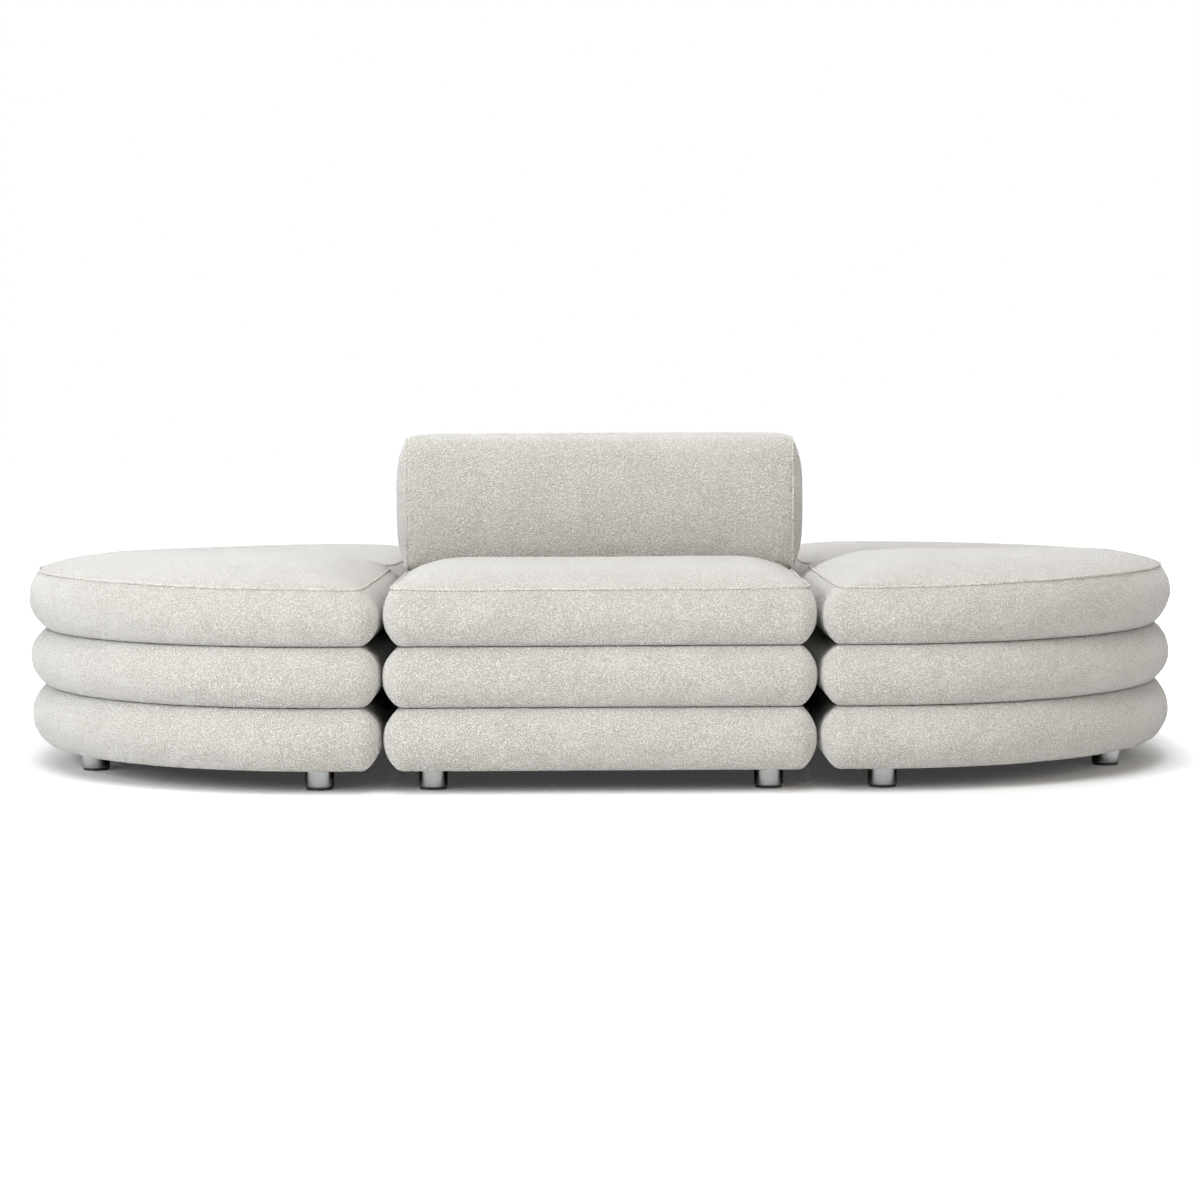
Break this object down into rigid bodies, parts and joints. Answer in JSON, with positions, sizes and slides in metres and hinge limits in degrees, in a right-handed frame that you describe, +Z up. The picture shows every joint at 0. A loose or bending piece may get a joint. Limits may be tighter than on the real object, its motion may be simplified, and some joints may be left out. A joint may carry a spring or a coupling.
{
  "type": "armless modular sofa",
  "caption": "Armless island sofa of square seat and quarter-round end modules, each a stack of padded rolls on round metal feet, with a loose bolster back that lifts off.",
  "frame": {"origin": "on the floor at the middle of the island, where the four inner module corners meet", "axes": "+Z up, +X along the island's length to the viewer's right, -Y towards the viewer in front"},
  "size_m": [2.6672, 1.7992, 0.755],
  "materials": {
    "boucle": "looped pile",
    "plywood": "bare sanded",
    "black_cloth": "non-woven",
    "polished_steel": "polished",
    "black_plastic": "matt",
    "zinc_steel": "zinc plated",
    "steel_plate": "primed",
    "grip_rubber": "ribbed matt"
  },
  "bodies": {
    "front_seat": {"front_seat_base_board": "plywood", "front_seat_underside_cloth": "black_cloth", "front_seat_bottom_cushion": "boucle", "front_seat_middle_cushion": "boucle", "front_seat_top_cushion": "boucle", "front_seat_feet": "polished_steel", "front_seat_glides": "black_plastic", "front_seat_foot_studs": "zinc_steel", "front_seat_tee_nuts": "zinc_steel"},
    "rear_seat": {"rear_seat_base_board": "plywood", "rear_seat_underside_cloth": "black_cloth", "rear_seat_bottom_cushion": "boucle", "rear_seat_middle_cushion": "boucle", "rear_seat_top_cushion": "boucle", "rear_seat_feet": "polished_steel", "rear_seat_glides": "black_plastic", "rear_seat_foot_studs": "zinc_steel", "rear_seat_tee_nuts": "zinc_steel"},
    "front_left_end": {"front_left_end_base_board": "plywood", "front_left_end_underside_cloth": "black_cloth", "front_left_end_bottom_cushion": "boucle", "front_left_end_middle_cushion": "boucle", "front_left_end_top_cushion": "boucle", "front_left_end_feet": "polished_steel", "front_left_end_glides": "black_plastic", "front_left_end_foot_studs": "zinc_steel", "front_left_end_tee_nuts": "zinc_steel"},
    "front_right_end": {"front_right_end_base_board": "plywood", "front_right_end_underside_cloth": "black_cloth", "front_right_end_bottom_cushion": "boucle", "front_right_end_middle_cushion": "boucle", "front_right_end_top_cushion": "boucle", "front_right_end_feet": "polished_steel", "front_right_end_glides": "black_plastic", "front_right_end_foot_studs": "zinc_steel", "front_right_end_tee_nuts": "zinc_steel"},
    "rear_left_end": {"rear_left_end_base_board": "plywood", "rear_left_end_underside_cloth": "black_cloth", "rear_left_end_bottom_cushion": "boucle", "rear_left_end_middle_cushion": "boucle", "rear_left_end_top_cushion": "boucle", "rear_left_end_feet": "polished_steel", "rear_left_end_glides": "black_plastic", "rear_left_end_foot_studs": "zinc_steel", "rear_left_end_tee_nuts": "zinc_steel"},
    "rear_right_end": {"rear_right_end_base_board": "plywood", "rear_right_end_underside_cloth": "black_cloth", "rear_right_end_bottom_cushion": "boucle", "rear_right_end_middle_cushion": "boucle", "rear_right_end_top_cushion": "boucle", "rear_right_end_feet": "polished_steel", "rear_right_end_glides": "black_plastic", "rear_right_end_foot_studs": "zinc_steel", "rear_right_end_tee_nuts": "zinc_steel"},
    "back": {"back_cushion": "boucle", "back_base_board": "plywood", "back_weight": "steel_plate", "back_screws": "zinc_steel", "back_grip_pad": "grip_rubber"}
  },
  "joints": [
    {"name": "front_left_end_pull", "type": "slide", "parent": "front_seat", "child": "front_left_end", "axis": [-1, 0, 0], "range_m": [0, 0.5]},
    {"name": "front_right_end_pull", "type": "slide", "parent": "front_seat", "child": "front_right_end", "axis": [1, 0, 0], "range_m": [0, 0.5]},
    {"name": "rear_seat_pull", "type": "slide", "parent": "front_seat", "child": "rear_seat", "axis": [0, 1, 0], "range_m": [0, 0.5]},
    {"name": "rear_left_end_pull", "type": "slide", "parent": "rear_seat", "child": "rear_left_end", "axis": [-1, 0, 0], "range_m": [0, 0.5]},
    {"name": "rear_right_end_pull", "type": "slide", "parent": "rear_seat", "child": "rear_right_end", "axis": [1, 0, 0], "range_m": [0, 0.5]},
    {"name": "back_lift", "type": "slide", "parent": "front_seat", "child": "back", "axis": [0, 0, 1], "range_m": [0, 0.35]}
  ]
}
